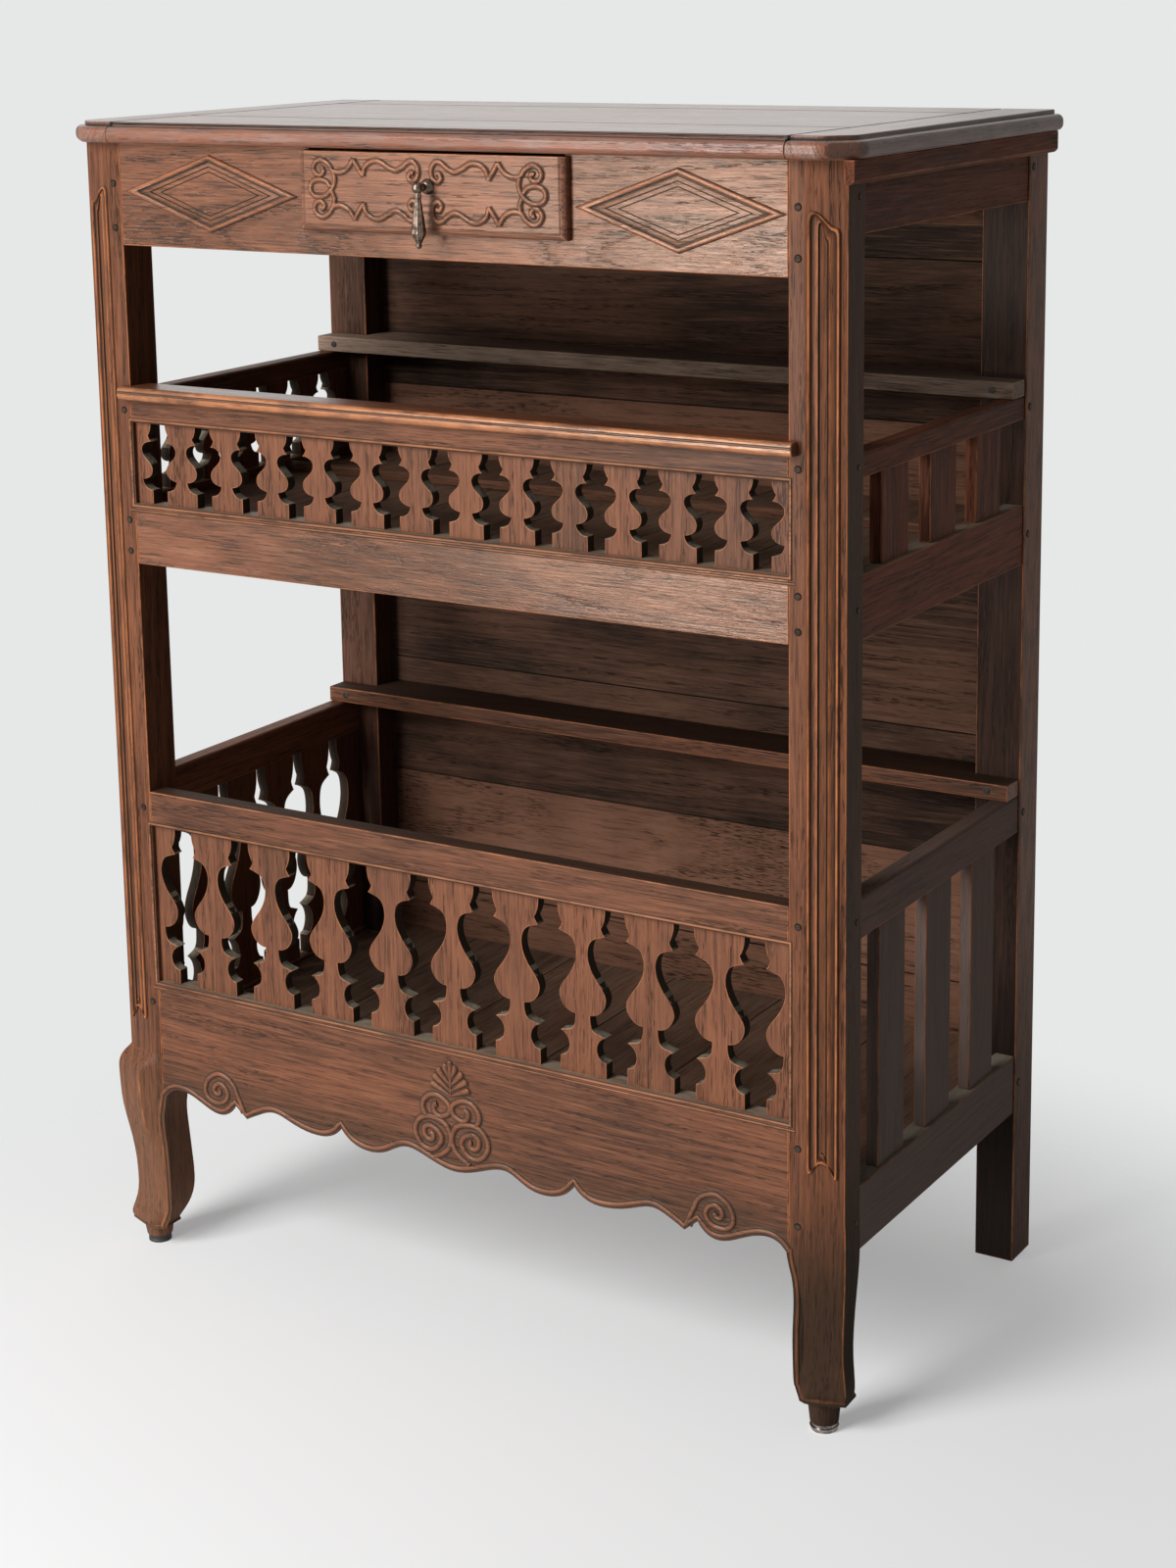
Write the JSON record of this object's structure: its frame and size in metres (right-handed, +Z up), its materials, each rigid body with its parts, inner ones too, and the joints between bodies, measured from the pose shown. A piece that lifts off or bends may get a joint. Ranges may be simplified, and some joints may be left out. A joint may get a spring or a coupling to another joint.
{
  "type": "kitchen dresser",
  "caption": "Open oak dresser rack: framed table top with a carved frieze drawer and drop pull, two tiers walled by sawn baluster galleries, boarded back, cabriole front legs.",
  "frame": {"origin": "centre of the bounding box, on the floor under the feet", "axes": "+Z up, front with the drawer towards -Y, +X to the right seen from the front"},
  "size_m": [1.036, 0.574, 1.415],
  "materials": {
    "dark_oak": "dark stained oak, waxed, worn pale along the edges",
    "rough_oak": "dry unpolished oak, dusty",
    "pull_bronze": "dark patinated bronze, polished by use",
    "nail_iron": "forged iron, brown with age",
    "shoe_steel": "bright steel glide, scuffed",
    "glide_plug": "dark worn plug"
  },
  "bodies": {
    "carcass": {"apron": "dark_oak", "back_boards": "rough_oak", "back_top_rail": "rough_oak", "drawer_runner_left": "rough_oak", "drawer_runner_right": "rough_oak", "frieze_rail": "dark_oak", "glide_front_left": "glide_plug", "glide_front_right": "shoe_steel", "glides_rear": "glide_plug", "joint_pegs": "dark_oak", "ledge_nails": "nail_iron", "lower_back_rail": "rough_oak", "lower_floor_bearer": "rough_oak", "lower_floor_boards": "rough_oak", "lower_front_balusters": "dark_oak", "lower_front_top_rail": "dark_oak", "lower_ledge": "dark_oak", "lower_left_balusters": "dark_oak", "lower_left_bottom_rail": "dark_oak", "lower_left_top_rail": "dark_oak", "lower_right_bottom_rail": "dark_oak", "lower_right_slats": "dark_oak", "lower_right_top_rail": "dark_oak", "plate_stop": "dark_oak", "post_front_left": "dark_oak", "post_front_right": "dark_oak", "post_rear_left": "dark_oak", "post_rear_right": "dark_oak", "side_battens": "dark_oak", "side_top_rail_left": "dark_oak", "side_top_rail_right": "dark_oak", "top_board_front": "dark_oak", "top_board_middle": "dark_oak", "top_board_rear": "dark_oak", "top_end_left": "dark_oak", "top_end_right": "dark_oak", "upper_back_rail": "rough_oak", "upper_floor_bearer": "rough_oak", "upper_floor_boards": "rough_oak", "upper_front_balusters": "dark_oak", "upper_front_bottom_rail": "dark_oak", "upper_front_cap": "dark_oak", "upper_front_top_rail": "dark_oak", "upper_ledge": "dark_oak", "upper_left_balusters": "dark_oak", "upper_left_bottom_rail": "dark_oak", "upper_left_top_rail": "dark_oak", "upper_right_bottom_rail": "dark_oak", "upper_right_slats": "dark_oak", "upper_right_top_rail": "dark_oak"},
    "drawer": {"drawer_front": "dark_oak", "drawer_side_left": "rough_oak", "drawer_side_right": "rough_oak", "drawer_back": "rough_oak", "drawer_bottom": "rough_oak", "pull_rosette": "pull_bronze", "pull_stud": "pull_bronze", "pull_nut": "pull_bronze"},
    "drop_pull": {"pull_drop": "pull_bronze", "pull_pin": "pull_bronze"}
  },
  "joints": [
    {"name": "drawer_slide", "type": "slide", "parent": "carcass", "child": "drawer", "axis": [0, -1, 0], "range_m": [0, 0.3]},
    {"name": "pull_swing", "type": "hinge", "parent": "drawer", "child": "drop_pull", "pos_m": [0.006, -0.27896, 1.3525], "axis": [-1, 0, 0], "range_deg": [0, 80]}
  ]
}
